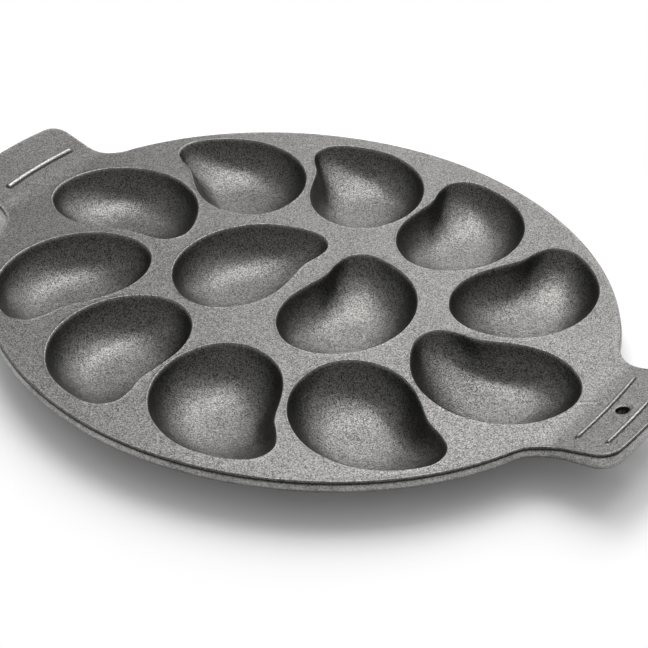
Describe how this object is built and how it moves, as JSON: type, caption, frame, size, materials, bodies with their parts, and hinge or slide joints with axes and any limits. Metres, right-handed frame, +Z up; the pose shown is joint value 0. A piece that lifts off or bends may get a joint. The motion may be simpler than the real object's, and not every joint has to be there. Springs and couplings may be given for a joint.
{
  "type": "oyster grill pan",
  "caption": "Oval cast iron grill pan with oyster shaped wells, a ribbed tab handle at each end and a hanging hole.",
  "frame": {"origin": "middle of the oval in plan, on the surface that the pan's feet stand on", "axes": "+X along the long axis towards the handle with the hanging hole, +Y across the oval, +Z up"},
  "size_m": [0.4254, 0.305, 0.0336],
  "materials": {
    "cast_iron": "dark grey sand cast surface with a thin satin oil finish"
  },
  "bodies": {
    "root": {"pan_casting": "cast_iron"}
  },
  "joints": []
}
